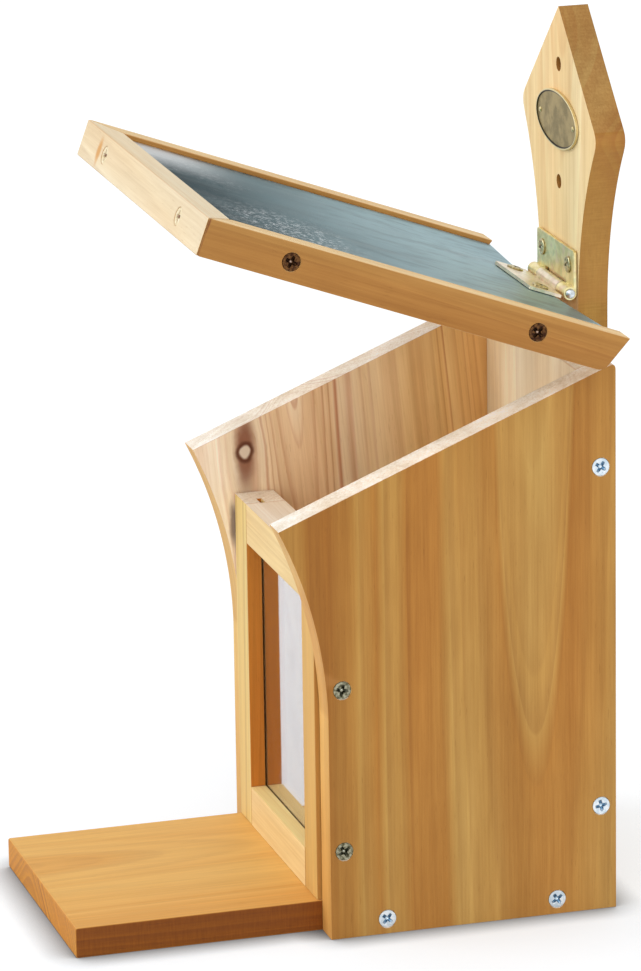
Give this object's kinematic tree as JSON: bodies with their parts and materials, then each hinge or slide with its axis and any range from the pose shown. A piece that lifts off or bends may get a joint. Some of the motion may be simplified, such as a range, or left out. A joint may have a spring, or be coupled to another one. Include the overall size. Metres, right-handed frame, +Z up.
{
  "type": "squirrel feeder box",
  "caption": "Timber squirrel feeder box with a hinged sheet-covered lid, a framed clear window, a perch board and a tall board to hang it by.",
  "frame": {"origin": "middle of the footprint of the whole object, on the surface it stands on", "axes": "+X to the right-hand side seen from the front, +Y to the back where the hanging board is, +Z up"},
  "size_m": [0.177, 0.2246, 0.342],
  "materials": {
    "panel_wood": "thin clear stain, satin",
    "perch_wood": "thin clear stain, satin",
    "pale_wood": "thin clear stain, satin",
    "lid_wood": "thin clear stain, satin",
    "clear_acrylic": "clear, glossy",
    "roof_sheet": "galvanised, lightly brushed",
    "hinge_steel": "yellow zinc plated",
    "pin_steel": "bright zinc plated",
    "zinc_steel": "bright zinc plated",
    "yellow_zinc_steel": "dull yellow zinc plated",
    "bronzed_steel": "bronzed",
    "plate_metal": "dull, aged"
  },
  "bodies": {
    "box": {"side_panel_left": "panel_wood", "side_panel_right": "panel_wood", "base_board": "perch_wood", "back_panel": "pale_wood", "hanging_board": "pale_wood", "window_stile_left": "pale_wood", "window_stile_right": "pale_wood", "window_rail_bottom": "pale_wood", "window_rail_top": "pale_wood", "window_pane": "clear_acrylic", "name_plate": "plate_metal", "name_plate_pin_left": "pin_steel", "name_plate_pin_right": "pin_steel", "hinge_leaf_board": "hinge_steel", "hinge_pin": "pin_steel", "board_leaf_screw_left": "zinc_steel", "board_leaf_screw_right": "zinc_steel", "hanging_board_screw_1": "zinc_steel", "hanging_board_screw_2": "zinc_steel", "hanging_board_screw_3": "zinc_steel", "left_rear_screw_lower": "zinc_steel", "left_rear_screw_upper": "zinc_steel", "left_frame_screw_lower": "yellow_zinc_steel", "left_frame_screw_upper": "yellow_zinc_steel", "left_base_screw_front": "zinc_steel", "left_base_screw_rear": "zinc_steel", "right_rear_screw_lower": "zinc_steel", "right_rear_screw_upper": "zinc_steel", "right_frame_screw_lower": "yellow_zinc_steel", "right_frame_screw_upper": "yellow_zinc_steel", "right_base_screw_front": "zinc_steel", "right_base_screw_rear": "zinc_steel"},
    "lid": {"lid_board": "lid_wood", "roof_sheet": "roof_sheet", "lid_rail_left": "lid_wood", "lid_rail_right": "lid_wood", "lid_front_rail": "pale_wood", "hinge_leaf_lid": "hinge_steel", "left_lid_rail_screw_front": "bronzed_steel", "left_lid_rail_screw_rear": "bronzed_steel", "right_lid_rail_screw_front": "bronzed_steel", "right_lid_rail_screw_rear": "bronzed_steel", "front_rail_screw_left": "bronzed_steel", "front_rail_screw_right": "bronzed_steel", "lid_leaf_screw_left": "zinc_steel", "lid_leaf_screw_right": "zinc_steel"}
  },
  "joints": [
    {"name": "lid_hinge", "type": "hinge", "parent": "box", "child": "lid", "pos_m": [0, 0.09735, 0.2343], "axis": [-1, 0, 0], "range_deg": [-42.2, 65]}
  ]
}
